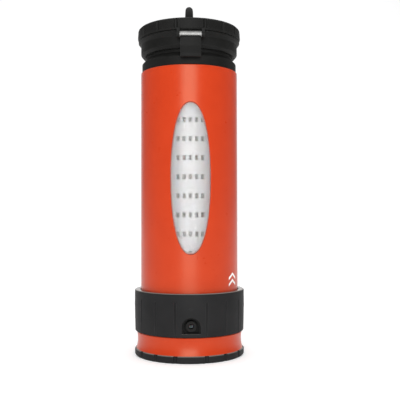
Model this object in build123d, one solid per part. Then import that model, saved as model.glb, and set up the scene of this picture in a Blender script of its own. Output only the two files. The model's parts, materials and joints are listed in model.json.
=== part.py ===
from build123d import *

import os
from math import copysign, cos, radians, sin

# Pump-action water purifier bottle with a see-through window, a flip lid and a pull-out pump handle.
# Millimetres, +Z up, origin at the centre of the foot's underside, front (window, clasp, port) at -Y.
# The bottle is drawn closed and standing, its pump handle pushed home and turned to the unlocked place.

# ---------------------------------------------------------------- driving dimensions
COLLAR_R = 37.5  # widest part, the grip collar of the base
FOOT_R = 37.3
SLEEVE_R = 33.2  # coloured outer sleeve
SHOULDER_R = 32.4
NECK_R = 29.6
BAND_R = 33.2  # hinge band round the neck
LID_R = 35.4

FOOT_TOP = 4.8
HANDLE_TOP = 16.2
COLLAR_BOTTOM = 16.5
COLLAR_TOP = 44.3
SLEEVE_TOP = 192.3
SHOULDER_TOP = 198.2
NECK_BOTTOM = 201.2
NECK_TOP = 213.4
BAND_BOTTOM = 203.2
BAND_TOP = 214.1
LID_BOTTOM = 214.5
LID_SEAT = 215.6
LID_CEILING = 219.4
LID_EDGE_TOP = 222.6
LOOP_TOP = 239.2

FIT = 0.05  # radial gap of a sliding fit

# grip pads: one wide pad in front, the others spaced evenly round the rest of the circle
FRONT_PAD = 31.5
PAD_COUNT = 16
PAD_STEP = (360 - FRONT_PAD) / (PAD_COUNT - 1)
GROOVE_ANGLES = [FRONT_PAD / 2 + PAD_STEP * k for k in range(PAD_COUNT)]

# vessel and window
VESSEL_R = 31.2
VESSEL_BORE = 29.4
VESSEL_BOTTOM = 32.6
VESSEL_TOP = 193.6
WINDOW_Z = 118.55
WINDOW_HALF_WIDTH = 13.1  # of the opening in the sleeve
WINDOW_HALF_HEIGHT = 49.4
WINDOW_FULLNESS = 2.2  # 2 is a plain ellipse, more is fuller
WINDOW_GAP = 0.3  # between the sleeve's opening and the clear window in it
WINDOW_RECESS = 0.4  # the clear window lies this far below the sleeve's surface

# pump
CYLINDER_BORE = 11.0
CYLINDER_R = 12.5
CYLINDER_BOTTOM = 27.0
CYLINDER_TOP = 137.0
ROD_R = 4.5
ROD_BOTTOM = 9.6
ROD_SHOULDER = 124.2
LUG_ANGLES = (60, 180, 300)
SCREW_CIRCLE = 22.0  # how far the foot's screws stand from the axis
FLOW_HOLES = 6  # in the piston and in the barrel's head

# filter cartridge
CAGE_R = 26.2
CAGE_WALL = 1.5
CAGE_BOTTOM = 60.0
CAGE_TOP = 176.5
SLOT_PITCH = 12.5
SLOT_FIRST_Z = 69.7
SLOT_ROWS = 9
SLOT_GROUPS = 6  # groups of slots round the cage, the first in front
SLOT_ANGLES = (-18, -9, 0, 9, 18)  # slots of one group
SLOT_WIDTH = 2.2
SLOT_HEIGHT = 3.3
SLOT_BAND_DEPTH = 0.35  # each row of slots lies in a shallow band
CORE_R = 14.3
CORE_BORE = 13.1
POTTING_BOTTOM = 168.0
POTTING_TOP = 174.0

# hose port: an arch with a smaller, deeper arch inside it and the nozzle standing on its floor
PORT_Z = 23.7
PORT_HALF_WIDTH = 6.1
PORT_TOP = 29.4
PORT_BOTTOM = 18.8
PORT_STEP = 1.1
PORT_STEP_Y = -34.9
PORT_FLOOR_Y = -31.6
NOZZLE_R = 3.6
NOZZLE_BORE_R = 1.6

# bayonet between the pump handle and the base
RIM_R = 30.4
LUG_R = 34.9
LUG_BOTTOM = 18.2
LUG_TOP = 19.8
LUG_WIDTH = 24
LUG_SLOT_WIDTH = 32

# lid hinge at the back, clasp at the front
HINGE_Y = 37.2
HINGE_Z = 209.5
HINGE_PIN_R = 1.25
CLASP_Y = -36.2
CLASP_Z = 210.9
CLASP_PIN_R = 1.8
CLASP_PIN_SHOWN = 1.55  # how far below its centre the pin shows over the lever's front edge
CLASP_HALF_WIDTH = 6.7
CLASP_EAR_INNER = 7.1
CLASP_EAR_OUTER = 9.0

BOTTOM = (Align.CENTER, Align.CENTER, Align.MIN)


# ---------------------------------------------------------------- helpers
def turned(*points, radii=0):
    """Solid of revolution about Z from an outline of (radius, height) corners and their rounding."""
    corners = [(r, 0, z) for r, z in points]
    if radii:
        outline = FilletPolyline(*corners, radius=radii, close=True)
    else:
        outline = Polyline(*corners, close=True)
    return revolve(make_face(outline), Axis.Z)


def tube(outer, inner, low, high):
    """Plain ring or tube about Z."""
    return turned((inner, low), (outer, low), (outer, high), (inner, high))


def rod(radius, low, high):
    """Plain cylinder about Z."""
    return Pos(0, 0, low) * Cylinder(radius, high - low, align=BOTTOM)


def cross_rod(radius, y, z, half_length):
    """Cylinder along X, centred on x = 0."""
    return Pos(0, y, z) * Rot(0, 90, 0) * Cylinder(radius, 2 * half_length)


def forward_rod(radius, y_low, y_high, z):
    """Cylinder along Y at x = 0."""
    return Pos(0, (y_low + y_high) / 2, z) * Rot(90, 0, 0) * Cylinder(radius, y_high - y_low)


def block(x_half, y_low, y_high, z_low, z_high):
    """Box centred on x = 0."""
    size = (2 * x_half, y_high - y_low, z_high - z_low)
    return Pos(0, (y_low + y_high) / 2, (z_low + z_high) / 2) * Box(*size)


def turn(shape, angle):
    """The shape turned about Z; a positive angle carries the front towards +X."""
    return Rot(0, 0, angle) * shape


def sector(outer, inner, low, high, angle, width):
    """Part of a ring, centred on an angle counted from the front."""
    half = radians(width / 2)
    reach = 2 * outer
    wedge = make_face(
        Polyline(
            (0, 0, low),
            (reach * sin(-half), -reach * cos(half), low),
            (reach * sin(half), -reach * cos(half), low),
            close=True,
        )
    )
    return turn(tube(outer, inner, low, high) & extrude(wedge, high - low, dir=(0, 0, 1)), angle)


def grip_grooves(radius, groove_r, low, high):
    """Upright round-bottomed grooves between the grip pads."""
    groove = Pos(0, -radius, 0) * rod(groove_r, low, high)
    return [turn(groove, angle) for angle in GROOVE_ANGLES]


def arch(half_width, bottom, top, y_low, y_high):
    """Upright arch with a half-round top, run along Y."""
    left, right, spring = -half_width, half_width, top - half_width
    outline = ThreePointArc((right, y_high, spring), (0, y_high, top), (left, y_high, spring))
    outline += Polyline(
        (left, y_high, spring), (left, y_high, bottom), (right, y_high, bottom), (right, y_high, spring)
    )
    return extrude(make_face(outline), y_high - y_low, dir=(0, -1, 0))


def side_plate(face, x_low, x_high):
    """A face drawn in (y, z), given a thickness along X."""
    return Pos(x_low, 0, 0) * extrude(Plane.YZ * face, x_high - x_low)


def both_sides(shape):
    """The shape and its mirror image across x = 0."""
    return shape + mirror(shape, Plane.YZ)


def window_prism(inset):
    """Upright oval of the window, drawn in by inset, run through the front wall only."""
    quarter = 8
    outline = []
    for k in range(4 * quarter):
        c, s = cos(radians(90 * k / quarter)), sin(radians(90 * k / quarter))
        x = copysign(abs(c) ** (2 / WINDOW_FULLNESS), c) * (WINDOW_HALF_WIDTH - inset)
        z = copysign(abs(s) ** (2 / WINDOW_FULLNESS), s) * (WINDOW_HALF_HEIGHT - inset)
        outline.append((x, 0, WINDOW_Z + z))
    return extrude(make_face(Spline(*outline, periodic=True)), 45, dir=(0, -1, 0))


# ---------------------------------------------------------------- pump handle
def foot():
    """Scalloped foot that closes the underside of the handle."""
    body = turned(
        (0, 2.0), (29.5, 2.0), (29.5, 0), (36.4, 0), (FOOT_R, 0.9), (FOOT_R, FOOT_TOP), (33.2, FOOT_TOP),
        (33.2, 7.8), (31.4, 7.8), (31.4, FOOT_TOP), (0, FOOT_TOP),
        radii=[0, 0.5, 0.5, 0.6, 0.6, 0.9, 0, 0.3, 0.3, 0.5, 0],
    )
    body -= grip_grooves(FOOT_R + 0.3, 1.6, -1, FOOT_TOP + 1)
    for angle in LUG_ANGLES:
        body -= turn(Pos(0, -SCREW_CIRCLE, 0) * rod(2.8, 1.9, 3.6), angle)
        body -= turn(Pos(0, -SCREW_CIRCLE, 0) * rod(1.4, 3.0, 5.0), angle)
    return body


def foot_screws():
    """Three screws that hold the foot to the handle ring."""
    screw = rod(2.6, 2.0, 3.6) + rod(1.2, 3.6, 9.6) - rod(0.9, 1.9, 2.8)
    return Compound([turn(Pos(0, -SCREW_CIRCLE, 0) * screw, angle) for angle in LUG_ANGLES])


def handle_ring():
    """Coloured handle: a waisted ring with a web, a hub for the rod and three bayonet lugs."""
    low, high = FOOT_TOP, HANDLE_TOP
    waist = make_face(
        ThreePointArc((36.3, 0, low), (35.36, 0, 10.6), (36.0, 0, high - 0.4))
        + Polyline(
            (36.0, 0, high - 0.4), (35.6, 0, high), (RIM_R, 0, high), (RIM_R, 0, LUG_TOP),
            (28.6, 0, LUG_TOP), (28.6, 0, high - 1.8), (33.4, 0, high - 1.8), (33.4, 0, low),
            (36.3, 0, low),
        )
    )
    body = revolve(waist, Axis.Z)
    body += tube(33.6, 4.0, 8.2, 10.4)
    body += tube(8.0, 4.0, 8.2, 13.2)
    body -= rod(ROD_R, ROD_BOTTOM, 14)
    for angle in LUG_ANGLES:
        body += sector(LUG_R, RIM_R - 0.4, LUG_BOTTOM, LUG_TOP, angle, LUG_WIDTH)
        body += turn(Pos(0, -SCREW_CIRCLE, 0) * rod(3.4, FOOT_TOP, 9), angle)
        body -= turn(Pos(0, -SCREW_CIRCLE, 0) * rod(1.2, 4, 9.6), angle)
    return body


def pump_rod():
    """Hollow-ended rod with a shoulder and a thin neck for the piston."""
    body = turned(
        (0, ROD_BOTTOM), (ROD_R, ROD_BOTTOM), (ROD_R, ROD_SHOULDER), (3.0, ROD_SHOULDER), (3.0, 134.4),
        (0, 134.4),
        radii=[0, 0.3, 0.4, 0, 0.4, 0],
    )
    return body - rod(1.8, ROD_BOTTOM - 1, 19)


def rod_screw():
    """Screw up through the hub into the rod."""
    head = rod(5.0, 6.2, 8.2) - rod(1.5, 6, 7.4)
    return head + rod(3.95, 8.2, ROD_BOTTOM) + rod(1.75, ROD_BOTTOM, 18.5)


def rod_clip():
    """Retaining ring that keeps the piston on the rod's neck."""
    return tube(5.0, 3.0, 132.95, 134.0)


# ---------------------------------------------------------------- piston
def piston():
    """Piston head, free to swivel on the rod's neck, with transfer holes and a seal groove."""
    outer = CYLINDER_BORE - 0.15
    body = turned(
        (3.0 + FIT, 124.4), (outer, 124.4), (outer, 127.0), (9.0, 127.0), (9.0, 129.4), (outer, 129.4),
        (outer, 132.0), (3.0 + FIT, 132.0),
    )
    hole = Pos(0, -6.2, 0) * rod(0.9, 124, 133)
    return body - [turn(hole, 360 / FLOW_HOLES * k) for k in range(FLOW_HOLES)]


def piston_seal():
    """Seal ring in the piston's groove."""
    r = CYLINDER_BORE - 0.04
    return turned((9.05, 127.1), (r, 127.1), (r, 129.3), (9.05, 129.3), radii=[0.2, 0.6, 0.6, 0.2])


def transfer_valve():
    """Rubber washer over the piston's transfer holes."""
    return tube(8.2, 3.0 + FIT, 132.0, 132.8)


# ---------------------------------------------------------------- base
def base_collar():
    """Grip collar with pads, an arched cut-out for the port and a slotted ledge for the lugs."""
    body = turned(
        (35.3, COLLAR_BOTTOM), (37.1, COLLAR_BOTTOM), (COLLAR_R, 34.0), (37.4, COLLAR_TOP),
        (33.7, COLLAR_TOP), (33.7, 40.8), (35.3, 40.8),
        radii=[0, 0.6, 4.0, 0.7, 0.3, 0, 0.4],
    )
    ledge = tube(35.4, RIM_R + 0.3, COLLAR_BOTTOM, 18.0)
    for angle in LUG_ANGLES:
        ledge -= sector(36, 30, 16, 19, angle, LUG_SLOT_WIDTH)
    body += ledge
    groove = turned((0, 15), (0.75, 15), (0.75, 38.4), (0, 39.6), radii=[0, 0, 0.6, 0])
    for angle in GROOVE_ANGLES:
        body -= turn(Pos(0, -COLLAR_R - 0.1, 0) * groove, angle)
    body -= arch(PORT_HALF_WIDTH, PORT_BOTTOM, PORT_TOP, -45, -30)
    mark = make_face(Polyline((-1.4, 35.0), (1.4, 35.0), (0, 33.6), close=True))
    return body - extrude(Plane.XZ.offset(COLLAR_R - 0.35) * mark, 5)


def base_body():
    """Inner moulding of the base: thread ring, floor, pump hub, and the duct behind the port."""
    body = turned(
        (15.5, 26.5), (35.2, 26.5), (35.2, 29.8), (33.4, 29.8), (33.4, 40.4), (31.6, 40.4), (31.6, 29.8),
        (15.5, 29.8),
        radii=[0, 0.4, 0.4, 0.4, 0.3, 0.3, 0, 0],
    )
    body += rod(15.5, 14.0, 36.0)
    behind_port = block(7.6, -36, -30.8, 18.3, 29.8) + block(7.6, -32, -28.6, 20.3, 29.8)
    behind_port -= block(8, -45, PORT_STEP_Y, 10, 40)
    body += behind_port & rod(35.15, 10, 40)
    body += block(3.4, -31, -14, 20.9, 27)
    body -= arch(PORT_HALF_WIDTH - PORT_STEP, PORT_BOTTOM + 0.3, PORT_TOP - PORT_STEP, -45, PORT_FLOOR_Y)
    body -= rod(12.0, 13, 20.5)
    body -= rod(CYLINDER_BORE, 20, 28)
    body -= rod(12.7, CYLINDER_BOTTOM, 37)
    body -= rod(14.2, 34.2, 37)
    body -= forward_rod(NOZZLE_BORE_R, -36, -8, PORT_Z)
    return body - forward_rod(2.6, -36, -24, PORT_Z)


def hose_nozzle():
    """Nozzle in the port that the intake hose pushes onto, with a tail that plugs into the duct."""
    tail, floor, tip = 24.5, -PORT_FLOOR_Y, 37.0
    body = turned(
        (NOZZLE_BORE_R, tail), (2.55, tail), (2.55, floor), (NOZZLE_R, floor), (NOZZLE_R, tip),
        (NOZZLE_BORE_R, tip),
        radii=[0, 0, 0, 0, 0.5, 0.3],
    )
    return Pos(0, 0, PORT_Z) * Rot(90, 0, 0) * (body - rod(2.1, tail - 1, 30.2))


def inlet_duckbill():
    """Rubber check valve inside the nozzle's tail: a flanged tube that narrows to a slit."""
    flange = tube(2.05, 1.3, 28.6, 30.1)
    bill = turned((0.9, 24.8), (1.1, 24.8), (2.0, 28.6), (1.3, 28.6))
    return Pos(0, 0, PORT_Z) * Rot(90, 0, 0) * (flange + bill)


def pump_cylinder():
    """Pump barrel that stands on the base's hub."""
    return tube(CYLINDER_R, CYLINDER_BORE, CYLINDER_BOTTOM, CYLINDER_TOP)


def cylinder_oring():
    """Seal round the barrel in the hub's mouth."""
    return turned((12.52, 34.3), (14.15, 34.3), (14.15, 36.0), (12.52, 36.0), radii=[0.3, 0.3, 0.6, 0.6])


def cylinder_head():
    """Cap of the barrel with discharge holes."""
    body = rod(CYLINDER_R, CYLINDER_TOP, 140.6) + rod(CYLINDER_BORE - FIT, 135.4, CYLINDER_TOP)
    hole = Pos(0, -5.5, 0) * rod(1.0, 135, 141)
    body -= [turn(hole, 360 / FLOW_HOLES * k) for k in range(FLOW_HOLES)]
    return body - rod(1.3, 135, 141)


def discharge_valve():
    """Rubber umbrella valve over the discharge holes."""
    return turned(
        (0, 137.0), (1.25, 137.0), (1.25, 140.6), (8.4, 140.6), (7.2, 141.8), (0, 143.0),
        radii=[0, 0.2, 0, 0.3, 1.5, 0],
    )


def rod_guide():
    """Bushing that closes the barrel's foot and guides the rod."""
    body = tube(12.0 - FIT, ROD_R + FIT, 14.0, 20.5)
    return body - tube(6.6, 4.0, 16.0, 18.2)


def rod_seal():
    """Lip seal in the guide's groove."""
    return tube(6.55, ROD_R + 0.03, 16.05, 18.15)


def base_seal():
    """Flat ring under the vessel's foot."""
    return turned((29.3, 30.0), (31.4, 30.0), (31.4, 32.4), (29.3, 32.4), radii=[0.5, 0.5, 0.5, 0.5])


# ---------------------------------------------------------------- vessel and sleeve
def vessel():
    """Clear pressure vessel with a raised oval window and an inner ledge for the cartridge."""
    body = turned(
        (VESSEL_BORE, VESSEL_BOTTOM), (VESSEL_R, VESSEL_BOTTOM), (VESSEL_R, VESSEL_TOP),
        (VESSEL_BORE, VESSEL_TOP), (VESSEL_BORE, 56), (27.6, 56), (27.6, 54), (VESSEL_BORE, 51.5),
        radii=[0.3, 0.3, 0.3, 0.3, 0, 0.3, 0.3, 0],
    )
    window = tube(SLEEVE_R - WINDOW_RECESS, VESSEL_R - 0.4, 50, 185) & window_prism(WINDOW_GAP)
    front = window.faces().filter_by(GeomType.CYLINDER).sort_by(Axis.Y)[0]
    return body + fillet(front.edges(), 0.5)


def sleeve():
    """Coloured sleeve with the oval opening, chamfered at its outer edge."""
    body = turned(
        (31.25, 41.0), (SLEEVE_R, 41.0), (SLEEVE_R, SLEEVE_TOP), (31.25, SLEEVE_TOP),
        radii=[0, 0.4, 0.5, 0.2],
    )
    body -= window_prism(0)
    outer = body.faces().filter_by(GeomType.CYLINDER).sort_by(SortBy.AREA)[-1]
    opening = [edge for edge in outer.edges() if edge.bounding_box().size.Z > WINDOW_HALF_HEIGHT / 2]
    opening = [edge for edge in opening if edge.geom_type != GeomType.LINE]
    return chamfer(opening, 0.25)


# ---------------------------------------------------------------- filter cartridge
def cartridge_cage():
    """White cage with rows of upright slots in six groups, each row in a shallow band."""
    body = tube(CAGE_R, CAGE_R - CAGE_WALL, CAGE_BOTTOM, CAGE_TOP)
    cuts = []
    for row in range(SLOT_ROWS):
        z = SLOT_FIRST_Z + SLOT_PITCH * row
        cuts.append(tube(CAGE_R + 1, CAGE_R - SLOT_BAND_DEPTH, z - SLOT_HEIGHT / 2, z + SLOT_HEIGHT / 2))
    body -= cuts
    slots = []
    for row in range(SLOT_ROWS):
        centre = Pos(0, -CAGE_R, SLOT_FIRST_Z + SLOT_PITCH * row)
        slot = centre * Box(SLOT_WIDTH, 4 * CAGE_WALL, SLOT_HEIGHT)
        for group in range(SLOT_GROUPS):
            slots += [turn(slot, 360 / SLOT_GROUPS * group + angle) for angle in SLOT_ANGLES]
    return body - slots


def cartridge_foot():
    """Bottom cap of the cartridge, a ring with three tabs that stand on the vessel's ledge."""
    body = turned(
        (CORE_BORE, 56.0), (CAGE_R, 56.0), (CAGE_R, CAGE_BOTTOM), (CORE_R, CAGE_BOTTOM), (CORE_R, 58.4),
        (CORE_BORE, 58.4),
        radii=[0.4, 1.2, 0, 0, 0, 0],
    )
    for angle in (30, 150, 270):
        body += sector(VESSEL_BORE - 0.1, CAGE_R - 2, 56.0, CAGE_BOTTOM, angle, 20)
    return body


def core_tube():
    """Closed tube that keeps the membranes clear of the pump barrel, with flow holes near its top."""
    body = tube(CORE_R, CORE_BORE, 58.4, 172.0) + rod(CORE_R, 172.0, POTTING_TOP)
    for z in (150, 158, 166):
        body -= [turn(forward_rod(2.0, 8, 16, z), 45 * k) for k in range(8)]
    return body


def membrane_fibres():
    """Hollow-fibre membranes, drawn as three rings of rods."""
    fibres = []
    for ring_r, count in ((16.4, 32), (19.4, 38), (22.4, 44)):
        fibre = Pos(0, -ring_r, 0) * rod(1.25, 61.0, POTTING_BOTTOM)
        fibres += [turn(fibre, 360 / count * k) for k in range(count)]
    return Compound(fibres)


def potting_block():
    """Resin block that the membranes are sealed into."""
    return tube(CAGE_R - CAGE_WALL - FIT, CORE_R + FIT, POTTING_BOTTOM, POTTING_TOP)


def cartridge_cap():
    """Top cap with the spigot that plugs into the outlet."""
    inside = CAGE_R - CAGE_WALL - FIT
    return turned(
        (7.0, 178.2), (inside, 178.2), (inside, 175.0), (inside + FIT, CAGE_TOP), (CAGE_R, CAGE_TOP),
        (CAGE_R, 180.4), (10.0, 180.4), (10.0, 185.0), (9.2, 185.0), (9.2, 187.0), (10.0, 187.0),
        (10.0, 188.6), (7.0, 188.6),
        radii=[0, 0, 0, 0, 0, 1.2, 0.5, 0, 0, 0, 0, 0.5, 0],
    )


def cartridge_oring():
    """Seal in the spigot's groove."""
    section = [(9.25, 185.1), (10.85, 185.1), (10.85, 186.9), (9.25, 186.9)]
    return turned(*section, radii=[0.3, 0.7, 0.7, 0.3])


# ---------------------------------------------------------------- top
def top_oring():
    """Seal between the outlet housing's skirt and the vessel."""
    inner, outer = 27.95, VESSEL_BORE - FIT
    section = [(inner, 186.1), (outer, 186.1), (outer, 188.3), (inner, 188.3)]
    return turned(*section, radii=[0.3, 0.6, 0.6, 0.3])


def outlet_housing():
    """Shoulder, neck and deck of the bottle top, with a skirt that screws into the vessel."""
    skirt = VESSEL_BORE - 0.15
    return turned(
        (skirt, 181.0), (skirt, 186.0), (27.9, 186.0), (27.9, 188.4), (skirt, 188.4), (skirt, 193.8),
        (31.6, 193.8), (31.6, 192.5), (SHOULDER_R, 192.5), (SHOULDER_R, SHOULDER_TOP),
        (NECK_R, NECK_BOTTOM), (NECK_R, NECK_TOP), (26.6, NECK_TOP), (26.6, 202.4), (9.0, 202.4),
        (9.0, 207.5), (7.0, 207.5), (7.0, 199.4), (22.4, 199.4), (22.4, 192.5), (24.4, 192.5),
        (24.4, 199.4), (26.6, 199.4), (26.6, 181.0),
        radii=[0.4, 0, 0, 0, 0, 0, 0, 0, 0.4, 0.9, 1.0, 0.4, 0.4, 1.0, 0, 0.3, 0.3, *[0] * 6, 0.3],
    )


def carbon_disc():
    """Activated carbon disc under the deck."""
    return turned((0, 193.7), (22.3, 193.7), (22.3, 199.4), (0, 199.4), radii=[0, 0.4, 0.4, 0])


def carbon_retainer():
    """Plate under the carbon disc with the socket for the cartridge's spigot."""
    return turned(
        (10.9, 183.6), (13.0, 183.6), (13.0, 190.4), (24.4, 190.4), (24.4, 192.5), (22.2, 192.5),
        (22.2, 193.7), (20.6, 193.7), (20.6, 192.5), (10.9, 192.5),
        radii=[0.3, 0.3, 0.5, 0.4, 0, 0, 0, 0, 0, 0],
    )


def valve_pin():
    """Fixed pin that closes the spout's mouth, on a three-armed spider in the outlet."""
    body = turned((0, 199.4), (2.5, 199.4), (2.5, 213.9), (0, 214.4), radii=[0, 0.3, 0.8, 0])
    body += tube(6.98, 6.0, 199.4, 200.7)
    arm = block(0.8, -6.3, -2, 199.4, 200.7)
    for k in range(3):
        body += turn(arm, 120 * k)
    return body


def hinge_band():
    """Band round the neck with the hinge ears at the back and a pocket for the clasp in front."""
    inner = NECK_R + 0.02
    body = turned(
        (inner, BAND_BOTTOM), (31.5, BAND_BOTTOM), (BAND_R, 205.2), (BAND_R, 211.0), (34.9, 213.3),
        (34.9, BAND_TOP), (inner, BAND_TOP),
        radii=[0, 0.8, 1.2, 1.5, 0, 0, 0],
    )
    pin_end = Pos(HINGE_Y, HINGE_Z) * Circle(3.0)
    root = Pos(31.4, 208.6) * Rectangle(1.0, 8.6)
    ear = make_hull([*pin_end.edges(), *root.edges()])
    ears = both_sides(side_plate(ear, 5.0, 10.4))
    body += ears - rod(NECK_R + 0.5, 200, 220)
    body -= block(5.4, 32.9, 45, BAND_BOTTOM - 1, 220)
    body -= cross_rod(HINGE_PIN_R, HINGE_Y, HINGE_Z, 12)
    return body - block(9.8, -45, -32.7, 206.0, 220)


def hinge_pin():
    """Steel pin of the lid's hinge."""
    return cross_rod(HINGE_PIN_R, HINGE_Y, HINGE_Z, 10.4)


def outlet_dial():
    """Twist ring that raises and lowers the spout."""
    body = turned(
        (9.1, 202.7), (16.0, 202.7), (16.0, 206.6), (12.0, 209.7), (6.4, 209.7), (6.4, 207.8),
        (9.1, 207.8),
        radii=[0, 0.3, 0.8, 1.5, 0.3, 0, 0],
    )
    flute = Pos(0, -17.2, 0) * rod(1.8, 202, 211)
    body -= [turn(flute, 22.5 * k) for k in range(16)]
    return body


def drinking_spout():
    """Soft mouthpiece on a stem that slides in the outlet."""
    return turned(
        (3.5, 201.0), (6.2, 201.0), (6.2, 201.8), (5.5, 201.8), (5.5, 203.2), (6.2, 203.2), (6.2, 209.9),
        (8.0, 209.9), (7.2, 212.0), (8.2, 213.4), (7.4, 214.8), (2.6, 214.8), (2.6, 212.8), (3.5, 212.0),
        radii=[0, 0.2, 0, 0, 0, 0, 0, 0.3, 0.9, 0.9, 0.9, 0.3, 0, 0],
    )


def spout_oring():
    """Seal in the stem's groove."""
    return turned((5.55, 201.9), (6.96, 201.9), (6.96, 203.1), (5.55, 203.1), radii=[0.2, 0.5, 0.5, 0.2])


# ---------------------------------------------------------------- lid
def carry_loop():
    """Arched loop of round section that stands on the lid, front to back."""
    section = 2.55
    reach = 11.5
    centre_z = LOOP_TOP - section - reach
    ring = Plane.XY.offset(centre_z) * Pos(0, reach, 0) * Circle(section)
    arched = revolve(ring, Axis((0, 0, centre_z), (1, 0, 0)), 180)
    flare = Pos(0, 0, 223.0) * Cone(4.3, section, 2.0, align=BOTTOM)
    leg = Pos(0, reach, 0) * (rod(section, LID_EDGE_TOP, centre_z) + flare)
    return arched + leg + Pos(0, -2 * reach, 0) * leg


def lid_arm():
    """Curved arm that joins the lid's rim to its hinge knuckle."""
    inner, outer = HINGE_Y - 3.0, HINGE_Y + 3.0
    side = make_face(
        FilletPolyline(
            (31.0, LID_BOTTOM), (31.0, 221.2), (36.2, 221.2), (outer, 216.5), (outer, HINGE_Z),
            (inner, HINGE_Z), (inner, LID_BOTTOM),
            radius=[0, 0, 1.5, 3.5, 0, 0, 0],
            close=True,
        )
    )
    return side_plate(side, -5.0, 5.0) + cross_rod(3.0, HINGE_Y, HINGE_Z, 5.0)


def clasp_ears():
    """Pair of rounded ears under the lid's front edge that hold the clasp's pin."""
    pin_end = Pos(CLASP_Y, CLASP_Z) * Circle(2.4)
    root = Pos(-34.3, 214.9) * Rectangle(2.2, 1.2)
    ear = make_hull([*pin_end.edges(), *root.edges()])
    return both_sides(side_plate(ear, CLASP_EAR_INNER, CLASP_EAR_OUTER))


def flip_lid():
    """Lid with grip pads, the carry loop, a hinge knuckle at the back and two clasp ears in front."""
    body = turned(
        (25.6, LID_SEAT), (32.4, LID_SEAT), (32.4, LID_BOTTOM), (34.9, LID_BOTTOM), (LID_R, 216.1),
        (35.1, LID_EDGE_TOP - 1.2), (33.9, LID_EDGE_TOP), (18.0, 223.8), (0, 224.2), (0, LID_CEILING),
        (25.6, LID_CEILING),
        radii=[0.4, 0, 0.3, 0.6, 0.6, 0.9, 1.2, 20.0, 0, 0, 1.5],
    )
    body -= grip_grooves(LID_R + 0.3, 1.5, LID_SEAT, 230)
    body += carry_loop() - rod(40, 215, 222.8)
    body += lid_arm()
    body -= cross_rod(HINGE_PIN_R + FIT, HINGE_Y, HINGE_Z, 6)
    body += clasp_ears()
    return body - cross_rod(CLASP_PIN_R, CLASP_Y, CLASP_Z, CLASP_EAR_OUTER - 0.5)


def lid_gasket():
    """Flat seal in the lid, over the neck's edge."""
    low = NECK_TOP + 0.3
    return turned((26.0, low), (29.4, low), (29.4, LID_SEAT), (26.0, LID_SEAT), radii=[0.4, 0.4, 0, 0])


def clasp_pin():
    """Bare steel pin between the lid's front ears."""
    return cross_rod(CLASP_PIN_R, CLASP_Y, CLASP_Z, CLASP_EAR_OUTER - 0.5)


def clasp_lever():
    """Curved lever that snaps onto the pin with an open hook and hangs over the band."""
    bottom, top = 196.2, CLASP_Z - CLASP_PIN_SHOWN
    width = block(CLASP_HALF_WIDTH, -45, -30, bottom - 1, CLASP_Z + 5)
    plate = turned(
        (33.75, top), (33.75, 203.2), (33.45, 202.6), (33.45, 201.8), (34.3, 201.0), (35.4, bottom),
        (37.3, bottom), (37.7, 198.4), (36.7, 204.0), (37.9, top),
        radii=[0, 0, 0, 0, 0, 0.5, 0.7, 1.5, 6.0, 0.6],
    )
    hook_r = CLASP_PIN_R + FIT + 0.8
    hook = cross_rod(hook_r, CLASP_Y, CLASP_Z, CLASP_HALF_WIDTH)
    hook += block(CLASP_HALF_WIDTH, CLASP_Y, -33.75, top - 0.6, CLASP_Z - 0.4)
    mouth = Pos(0, CLASP_Y, CLASP_Z) * Rot(15, 0, 0) * block(10, -8, 0.35, -8, 8)
    hook -= mouth & block(10, -45, 0, top, 220)
    return (plate & width) + hook - cross_rod(CLASP_PIN_R + FIT, CLASP_Y, CLASP_Z, 10)


PARTS = {
    "foot": foot,
    "foot_screws": foot_screws,
    "handle_ring": handle_ring,
    "pump_rod": pump_rod,
    "rod_screw": rod_screw,
    "rod_clip": rod_clip,
    "piston": piston,
    "piston_seal": piston_seal,
    "transfer_valve": transfer_valve,
    "base_collar": base_collar,
    "base_body": base_body,
    "hose_nozzle": hose_nozzle,
    "inlet_duckbill": inlet_duckbill,
    "pump_cylinder": pump_cylinder,
    "cylinder_oring": cylinder_oring,
    "cylinder_head": cylinder_head,
    "discharge_valve": discharge_valve,
    "rod_guide": rod_guide,
    "rod_seal": rod_seal,
    "base_seal": base_seal,
    "vessel": vessel,
    "sleeve": sleeve,
    "cartridge_cage": cartridge_cage,
    "cartridge_foot": cartridge_foot,
    "core_tube": core_tube,
    "membrane_fibres": membrane_fibres,
    "potting_block": potting_block,
    "cartridge_cap": cartridge_cap,
    "cartridge_oring": cartridge_oring,
    "top_oring": top_oring,
    "outlet_housing": outlet_housing,
    "carbon_disc": carbon_disc,
    "carbon_retainer": carbon_retainer,
    "valve_pin": valve_pin,
    "hinge_band": hinge_band,
    "hinge_pin": hinge_pin,
    "outlet_dial": outlet_dial,
    "drinking_spout": drinking_spout,
    "spout_oring": spout_oring,
    "flip_lid": flip_lid,
    "lid_gasket": lid_gasket,
    "clasp_pin": clasp_pin,
    "clasp_lever": clasp_lever,
}

if __name__ == "__main__":
    os.makedirs("parts", exist_ok=True)
    for name, make in PARTS.items():
        export_step(make(), f"parts/{name}.step")
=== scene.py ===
# Looks of a pump water purifier bottle: its finishes, fine detail, floor, lights and camera. Metres, +Z up.

import json
from math import cos, pi, radians, sin
from random import Random

import bmesh
import bpy
from mathutils import Matrix, Vector


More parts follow.
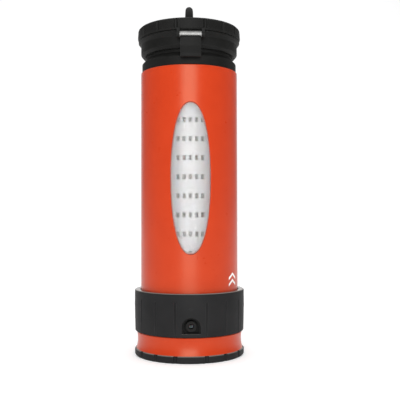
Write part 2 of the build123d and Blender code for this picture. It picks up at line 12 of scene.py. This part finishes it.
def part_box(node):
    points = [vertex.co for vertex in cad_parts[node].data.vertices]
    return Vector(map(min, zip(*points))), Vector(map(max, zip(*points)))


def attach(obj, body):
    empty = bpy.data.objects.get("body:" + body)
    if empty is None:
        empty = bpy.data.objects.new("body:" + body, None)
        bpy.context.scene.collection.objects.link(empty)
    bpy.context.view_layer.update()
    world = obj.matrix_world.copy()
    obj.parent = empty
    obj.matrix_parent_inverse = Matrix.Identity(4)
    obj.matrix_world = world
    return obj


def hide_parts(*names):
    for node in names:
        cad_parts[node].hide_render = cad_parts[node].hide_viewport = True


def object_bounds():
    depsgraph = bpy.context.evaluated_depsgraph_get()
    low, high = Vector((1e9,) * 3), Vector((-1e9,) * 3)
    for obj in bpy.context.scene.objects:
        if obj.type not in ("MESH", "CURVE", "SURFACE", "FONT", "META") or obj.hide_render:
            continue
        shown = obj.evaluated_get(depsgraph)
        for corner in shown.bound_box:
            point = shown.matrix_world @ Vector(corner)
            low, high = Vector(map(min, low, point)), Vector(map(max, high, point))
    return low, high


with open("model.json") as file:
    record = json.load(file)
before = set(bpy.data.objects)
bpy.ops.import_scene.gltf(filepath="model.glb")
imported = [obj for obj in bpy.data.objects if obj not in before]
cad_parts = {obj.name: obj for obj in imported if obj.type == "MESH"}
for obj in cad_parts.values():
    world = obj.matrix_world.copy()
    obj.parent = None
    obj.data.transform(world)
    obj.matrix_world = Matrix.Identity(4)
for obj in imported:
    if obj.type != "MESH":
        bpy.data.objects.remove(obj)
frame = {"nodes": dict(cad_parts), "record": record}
cad_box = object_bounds()

MM = 0.001

# camera, found from the bottle's outline
CAMERA_DISTANCE = 0.4640  # from the bottle's axis
CAMERA_HEIGHT = 0.0930
CAMERA_AZIMUTH = radians(-1.65)
CAMERA_AIM = radians(-0.917)  # turned this far to the right of the axis
CAMERA_PITCH = radians(1.50)
CAMERA_ROLL = radians(-0.12)
LENS_MM = 60.3


# ---------------------------------------------------------------- building a material
class Finish:
    """A material being built: its node tree, its Principled shader and the piece's own coordinates."""

    def __init__(self, name, **sockets):
        self.material = bpy.data.materials.new(name)
        self.material.use_nodes = True
        self.tree = self.material.node_tree
        self.shader = self.tree.nodes["Principled BSDF"]
        self.place = self.tree.nodes.new("ShaderNodeTexCoord").outputs["Object"]
        self.normal = self.tree.nodes.new("ShaderNodeNewGeometry").outputs["Normal"]
        for socket, value in sockets.items():
            self.put(socket.replace("_", " "), value)

    def put(self, socket, value):
        """Sets a shader input to a number or colour, or links it to another node's output."""
        if isinstance(value, bpy.types.NodeSocket):
            self.tree.links.new(value, self.shader.inputs[socket])
        else:
            self.shader.inputs[socket].default_value = value

    def node(self, kind, inputs=(), **settings):
        """A new node with its settings; its inputs are numbers, colours or other nodes' outputs."""
        made = self.tree.nodes.new("ShaderNode" + kind)
        for name, value in settings.items():
            setattr(made, name, value)
        for socket, value in dict(inputs).items():
            if isinstance(value, bpy.types.NodeSocket):
                self.tree.links.new(value, made.inputs[socket])
            else:
                made.inputs[socket].default_value = value
        return made

    def stretched(self, x, y, z):
        """The piece's coordinates, multiplied along each axis."""
        return self.node("Mapping", {"Vector": self.place, "Scale": (x, y, z)}).outputs["Vector"]

    def noise(self, size, detail=3.0, roughness=0.5, place=None):
        """Soft noise whose blotches are about size metres across."""
        inputs = {"Vector": place or self.place, "Scale": 1 / size}
        inputs.update({"Detail": detail, "Roughness": roughness})
        return self.node("TexNoise", inputs).outputs["Fac"]

    def remap(self, value, low, high, start=0.3, end=0.7):
        """A value from start..end carried onto low..high."""
        inputs = {"Value": value, "From Min": start, "From Max": end, "To Min": low, "To Max": high}
        return self.node("MapRange", inputs).outputs["Result"]

    def times(self, first, second):
        return self.node("Math", {0: first, 1: second}, operation="MULTIPLY").outputs["Value"]

    def along(self, first, second):
        """How far one direction points along another."""
        return self.node("VectorMath", {0: first, 1: second}, operation="DOT_PRODUCT").outputs["Value"]

    def between(self, factor, first, second):
        """A colour that runs from first to second, each a colour or another node's output."""
        mixed = self.node("Mix", data_type="RGBA")
        values = {"Factor": factor, "A": first, "B": second}
        for socket in mixed.inputs:
            if socket.enabled and socket.name in values:
                value = values[socket.name]
                if isinstance(value, bpy.types.NodeSocket):
                    self.tree.links.new(value, socket)
                else:
                    socket.default_value = (*value, 1)
        return next(socket for socket in mixed.outputs if socket.enabled)

    def tone(self, noise, first, second):
        """Colours the surface in soft blotches between two colours."""
        self.put("Base Color", self.between(self.remap(noise, 0, 1), first, second))

    def near_edge(self, reach, start=0.80, end=0.985):
        """1 within about reach of an edge or corner, and 0 on open faces."""
        rounded = self.node("Bevel", {"Radius": reach}, samples=4).outputs["Normal"]
        return self.remap(self.along(rounded, self.normal), 1, 0, start=start, end=end)

    def edges(self, reach, patches=2.5 * MM):
        """Edges and corners in patches: rubbed wear, and on moulded plastic also a painted edge highlight.
        """
        patchy = self.remap(self.noise(patches, detail=5, roughness=0.7), 0.15, 1, 0.35, 0.62)
        return self.times(self.near_edge(reach), patchy)

    def bump(self, *layers):
        """Raises the surface by layers of (height, depth in metres), one on top of the other."""
        normal = None
        for height, depth in layers:
            inputs = {"Height": height, "Distance": depth, "Strength": 1.0}
            if normal:
                inputs["Normal"] = normal
            normal = self.node("Bump", inputs).outputs["Normal"]
        self.put("Normal", normal)
        return self


# ---------------------------------------------------------------- finishes
def moulded(name, dark, light, worn_and_highlit, gloss, grain=0.25 * MM, depth=0.004 * MM, **sockets):
    """Moulded plastic: spark-eroded grain, faint cloudiness, uneven gloss, and edges lightened in patches
    as rubbed wear and painted edge highlight.
    """
    made = Finish(name, **sockets)
    cloud = made.remap(made.noise(14 * MM, detail=4), 0, 1)
    handled = made.remap(made.noise(3.5 * MM, detail=6, roughness=0.65), *gloss)
    # edges lightened towards the worn colour: partly rubbed wear, partly a painted highlight where fillets
    # catch light
    rubbed_and_highlit_edges = made.edges(0.5 * MM)
    made.put("Base Color", made.between(rubbed_and_highlit_edges, made.between(cloud, dark, light), worn_and_highlit))
    made.put("Roughness", handled)
    return made.bump((made.noise(grain, detail=2), depth), (made.noise(6 * MM, detail=2), 3 * depth))


def black_plastic():
    return moulded(
        "black_moulded_plastic", (0.0055, 0.0055, 0.0050), (0.0085, 0.0085, 0.0080), (0.030, 0.030, 0.029),
        (0.48, 0.60), Specular_IOR_Level=0.12,
    )


def ledge_plastic():
    """Black plastic of the collar and foot, whose narrow upward ledges are smoother and carry a painted
    highlight: their colour is lightened where the surface faces up.
    """
    made = moulded(
        "ledge_plastic", (0.0120, 0.0120, 0.0125), (0.0160, 0.0160, 0.0165), (0.048, 0.048, 0.049),
        (0.50, 0.62), Specular_IOR_Level=0.12,
    )
    colour = made.shader.inputs["Base Color"].links[0].from_socket
    roughness = made.shader.inputs["Roughness"].links[0].from_socket
    # painted highlight: faces turned upward are lightened towards pale grey in place of the bright
    # reflection they catch, and are also made less rough
    upward_painted_sheen = made.remap(made.along(made.normal, (0, 0, 1)), 0, 1, start=0.35, end=0.80)
    made.put("Base Color", made.between(upward_painted_sheen, colour, (0.17, 0.16, 0.145)))
    made.put("Roughness", made.times(roughness, made.remap(upward_painted_sheen, 1, 0.25, start=0, end=1)))
    return made


def orange_plastic():
    return moulded(
        "orange_moulded_plastic", (0.475, 0.032, 0.005), (0.500, 0.036, 0.006), (0.66, 0.11, 0.05),
        (0.27, 0.34), depth=0.002 * MM, Specular_IOR_Level=0.40, Specular_Tint=(1.0, 0.88, 0.62, 1),
    )


def clear_plastic():
    """Slightly milky clear wall; the rim of its window is made opaque and carries a painted glow in the
    sleeve's orange, standing in for light caught in its edge.
    """
    made = Finish(
        "clear_vessel_plastic", IOR=1.20, Specular_IOR_Level=0.05, Coat_Weight=0.12, Coat_Roughness=0.35,
    )
    painted_rim_glow = made.near_edge(1.6 * MM, start=0.93, end=0.999)
    # painted glow: near its edges the clear wall turns opaque and pinkish orange
    made.put("Base Color", made.between(painted_rim_glow, (0.97, 0.97, 0.97), (0.38, 0.13, 0.10)))
    made.put("Transmission Weight", made.remap(painted_rim_glow, 0.93, 0.0, start=0, end=0.6))
    made.put("Roughness", made.remap(made.noise(9 * MM, detail=3), 0.05, 0.11))
    return made.bump((made.noise(18 * MM, detail=1), 0.02 * MM))


def white_plastic():
    return moulded(
        "white_cartridge_plastic", (0.60, 0.60, 0.605), (0.65, 0.65, 0.655), (0.72, 0.72, 0.72),
        (0.45, 0.58), Specular_IOR_Level=0.4, Subsurface_Weight=0.2, Subsurface_Scale=2.5 * MM,
    )


def grey_plastic():
    return moulded("grey_plastic", (0.17, 0.18, 0.19), (0.23, 0.24, 0.25), (0.34, 0.35, 0.36), (0.38, 0.50))


def membrane():
    """Dull off-white fibre walls with fine streaks along them."""
    made = Finish("membrane_fibre", Roughness=0.7, Subsurface_Weight=0.3, Subsurface_Scale=1.5 * MM)
    streaks = made.noise(0.9 * MM, detail=4, place=made.stretched(1, 1, 0.12))
    made.tone(streaks, (0.26, 0.25, 0.23), (0.40, 0.39, 0.36))
    return made.bump((made.noise(0.3 * MM, detail=2), 0.01 * MM))


def resin():
    """Cast potting resin, slightly cloudy."""
    made = Finish("potting_resin", Roughness=0.25, Coat_Weight=0.3)
    made.tone(made.noise(4 * MM, detail=5), (0.55, 0.49, 0.37), (0.68, 0.63, 0.52))
    return made.bump((made.noise(2 * MM, detail=3), 0.02 * MM))


def carbon():
    """Pressed carbon granules."""
    made = Finish("pressed_carbon", Roughness=0.8)
    grains = made.node("TexVoronoi", {"Vector": made.place, "Scale": 1 / (0.9 * MM)}).outputs["Distance"]
    made.put("Base Color", made.between(grains, (0.030, 0.030, 0.030), (0.006, 0.006, 0.006)))
    return made.bump((grains, 0.15 * MM))


def steel():
    """Drawn steel with fine marks round its length and dulled ends."""
    made = Finish("drawn_steel", Metallic=1.0)
    streaks = made.noise(0.3 * MM, detail=4, place=made.stretched(1, 0.1, 0.1))
    drawn = made.between(made.remap(streaks, 0, 1), (0.26, 0.26, 0.255), (0.37, 0.37, 0.36))
    made.put("Base Color", made.between(made.edges(0.4 * MM), drawn, (0.5, 0.5, 0.49)))
    made.put("Roughness", made.remap(made.noise(1.5 * MM, detail=5), 0.50, 0.62))
    return made.bump((streaks, 0.003 * MM))


def seal_rubber():
    """Black rubber with a dusty bloom."""
    made = Finish("seal_rubber_bloom")
    bloom = made.noise(2.5 * MM, detail=6, roughness=0.7)
    made.tone(bloom, (0.012, 0.012, 0.012), (0.032, 0.031, 0.030))
    made.put("Roughness", made.remap(bloom, 0.5, 0.75))
    return made.bump((made.noise(0.15 * MM, detail=2), 0.004 * MM))


def silicone():
    """Milky soft silicone."""
    made = Finish("soft_silicone", Roughness=0.45, Subsurface_Weight=0.25, Subsurface_Scale=2 * MM)
    made.tone(made.noise(3 * MM, detail=4), (0.68, 0.69, 0.69), (0.77, 0.78, 0.78))
    return made.bump((made.noise(0.2 * MM, detail=2), 0.004 * MM))


def white_print():
    """Pad-printed white ink, a little thin in places."""
    made = Finish("white_print", Roughness=0.5)
    made.tone(made.noise(0.5 * MM, detail=5, roughness=0.7), (0.90, 0.88, 0.86), (0.82, 0.76, 0.72))
    return made.bump((made.noise(0.12 * MM, detail=2), 0.003 * MM))


FINISHES = {
    "black_plastic": black_plastic(),
    "orange_plastic": orange_plastic(),
    "clear_plastic": clear_plastic(),
    "white_plastic": white_plastic(),
    "membrane": membrane(),
    "resin": resin(),
    "carbon": carbon(),
    "steel": steel(),
    "seal_rubber": seal_rubber(),
    "silicone": silicone(),
    "grey_plastic": grey_plastic(),
}
LEDGE_PLASTIC = ledge_plastic()
NODE_FINISHES = {"base_collar": LEDGE_PLASTIC, "foot": LEDGE_PLASTIC}


def dress_cad_nodes():
    """Gives every CAD node the finish of its material slot, or its own."""
    for part in frame["record"]["subparts"]:
        finish = NODE_FINISHES.get(part["node"], FINISHES[part["material_slot"]])
        for place in frame["nodes"][part["node"]].material_slots:
            place.material = finish.material


# ---------------------------------------------------------------- added pieces
def new_piece(name, made, finish, body):
    """Turns built geometry into a piece that rides on a body."""
    bmesh.ops.recalc_face_normals(made, faces=made.faces)
    mesh = bpy.data.meshes.new(name)
    made.to_mesh(mesh)
    made.free()
    mesh.materials.append(finish.material)
    piece = bpy.data.objects.new(name, mesh)
    bpy.context.scene.collection.objects.link(piece)
    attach(piece, body)
    return piece


def join_rows(made, rows, smooth):
    """Walls between neighbouring loops of points, and a face over each end."""
    for near, far in zip(rows, rows[1:]):
        for i in range(len(near)):
            j = (i + 1) % len(near)
            made.faces.new((near[i], near[j], far[j], far[i])).smooth = smooth
    made.faces.new(rows[0])
    made.faces.new(rows[-1])


def printed_chevrons():
    """Two stacked chevrons printed on the sleeve, to the right of the front and above the collar."""
    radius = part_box("sleeve")[1][0]
    turn, low, pitch = radians(58), 47.5 * MM, 4.2 * MM
    ink, steps = 0.03 * MM, 12
    half_width, rise, stroke = 4.6 * MM, 3.0 * MM, 1.7 * MM
    made = bmesh.new()
    for bottom in (low, low + pitch):
        rows = []
        for k in range(-steps, steps + 1):
            angle = turn + half_width * k / steps / radius
            z = bottom + rise * (1 - abs(k) / steps)
            inner, outer = radius - ink, radius + ink
            section = ((inner, z), (outer, z), (outer, z + stroke), (inner, z + stroke))
            places = [(r * sin(angle), -r * cos(angle), height) for r, height in section]
            rows.append([made.verts.new(place) for place in places])
        join_rows(made, rows, smooth=False)
    new_piece("sleeve_chevrons", made, white_print(), "vessel")


def fibre_bundle():
    """Hundreds of fine hollow fibres behind the cage's slots, in place of the plain rods."""
    rng = Random(7)
    low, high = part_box("membrane_fibres")
    cage_wall = 1.5 * MM
    cage_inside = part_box("cartridge_cage")[1][0] - cage_wall
    fibre_r, sides, levels = 0.42 * MM, 6, 14
    section = [(fibre_r * cos(2 * pi * i / sides), fibre_r * sin(2 * pi * i / sides)) for i in range(sides)]
    made = bmesh.new()
    for depth, count in ((0.6 * MM, 150), (1.5 * MM, 140), (2.5 * MM, 130)):
        ring_r = cage_inside - depth
        for k in range(count):
            angle = 2 * pi * (k + rng.uniform(-0.25, 0.25)) / count
            sway, phase = rng.uniform(0.1, 0.35) * MM, rng.uniform(0, 2 * pi)
            rings = []
            for level in range(levels + 1):
                share = level / levels
                z = low[2] + (high[2] - low[2]) * share
                wander = sway * sin(pi * share) * sin(phase + 9 * share) / ring_r
                r = ring_r - sway * sin(pi * share) ** 2 * abs(sin(2 * phase + 7 * share))
                centre = Vector((r * sin(angle + wander), -r * cos(angle + wander), z))
                rings.append([made.verts.new(centre + Vector((x, y, 0))) for x, y in section])
            join_rows(made, rings, smooth=True)
    bundle = new_piece("fine_fibres", made, FINISHES["membrane"], "vessel")
    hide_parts("membrane_fibres")


# ---------------------------------------------------------------- floor, lights, camera
def pale_floor():
    """Wide pale floor with a faint mottle."""
    width, level = 30, cad_box[0][2]
    bpy.ops.mesh.primitive_plane_add(size=width, location=(0, 0, level))
    floor = bpy.context.object
    floor.name = "floor"
    made = Finish("pale_floor", Roughness=0.7, Specular_IOR_Level=0.2, Emission_Strength=0.22)
    made.put("Base Color", made.between(made.noise(0.4, detail=4), (0.93, 0.93, 0.93), (0.96, 0.96, 0.96)))
    made.put("Emission Color", (1, 1, 1, 1))
    floor.data.materials.append(made.material)


def soft_light(name, place, aim, width, height, radiance):
    """Rectangular soft box that faces a point."""
    data = bpy.data.lights.new(name, "AREA")
    data.shape = "RECTANGLE"
    data.size = width
    data.size_y = height
    data.energy = radiance * pi * width * height
    light = bpy.data.objects.new(name, data)
    light.location = place
    light.rotation_euler = (Vector(aim) - Vector(place)).to_track_quat("-Z", "Y").to_euler()
    bpy.context.scene.collection.objects.link(light)


def studio():
    """White backdrop behind, greyer room in front, bright ceiling and an upright soft box."""
    world = bpy.data.worlds.new("studio")
    bpy.context.scene.world = world
    world.use_nodes = True
    tree = world.node_tree
    direction = tree.nodes.new("ShaderNodeTexCoord").outputs["Generated"]
    axes = tree.nodes.new("ShaderNodeSeparateXYZ")
    tree.links.new(direction, axes.inputs["Vector"])

    def ramp(value, start, end, low, high):
        made = tree.nodes.new("ShaderNodeMapRange")
        made.interpolation_type = "SMOOTHSTEP"
        tree.links.new(value, made.inputs["Value"])
        for name, number in (("From Min", start), ("From Max", end), ("To Min", low), ("To Max", high)):
            made.inputs[name].default_value = number
        return made.outputs["Result"]

    backdrop = ramp(axes.outputs["Y"], 0.79, 0.92, 0.33, 1.02)
    ceiling = ramp(axes.outputs["Z"], 0.45, 0.95, 0.0, 1.1)
    added = tree.nodes.new("ShaderNodeMath")
    tree.links.new(backdrop, added.inputs[0])
    tree.links.new(ceiling, added.inputs[1])
    background = tree.nodes["Background"]
    background.inputs["Color"].default_value = (1, 1, 1, 1)
    tree.links.new(added.outputs["Value"], background.inputs["Strength"])

    soft_light("front_box", (-0.03, -1.05, 0.20), (0, 0, 0.12), 0.62, 1.10, 5.2)
    bpy.context.scene.view_settings.view_transform = "Standard"


def photo_camera():
    """Camera at the photograph's height, distance and angle."""
    data = bpy.data.cameras.new("camera")
    data.lens = LENS_MM
    data.clip_start = 0.01
    camera = bpy.data.objects.new("camera", data)
    turned = (
        Matrix.Rotation(CAMERA_AZIMUTH + CAMERA_AIM, 4, "Z")
        @ Matrix.Rotation(pi / 2 + CAMERA_PITCH, 4, "X")
        @ Matrix.Rotation(CAMERA_ROLL, 4, "Z")
    )
    camera.location = (
        CAMERA_DISTANCE * sin(CAMERA_AZIMUTH),
        -CAMERA_DISTANCE * cos(CAMERA_AZIMUTH),
        CAMERA_HEIGHT,
    )
    camera.rotation_euler = turned.to_euler()
    bpy.context.scene.collection.objects.link(camera)
    bpy.context.scene.camera = camera


dress_cad_nodes()
printed_chevrons()
fibre_bundle()
pale_floor()
studio()
photo_camera()
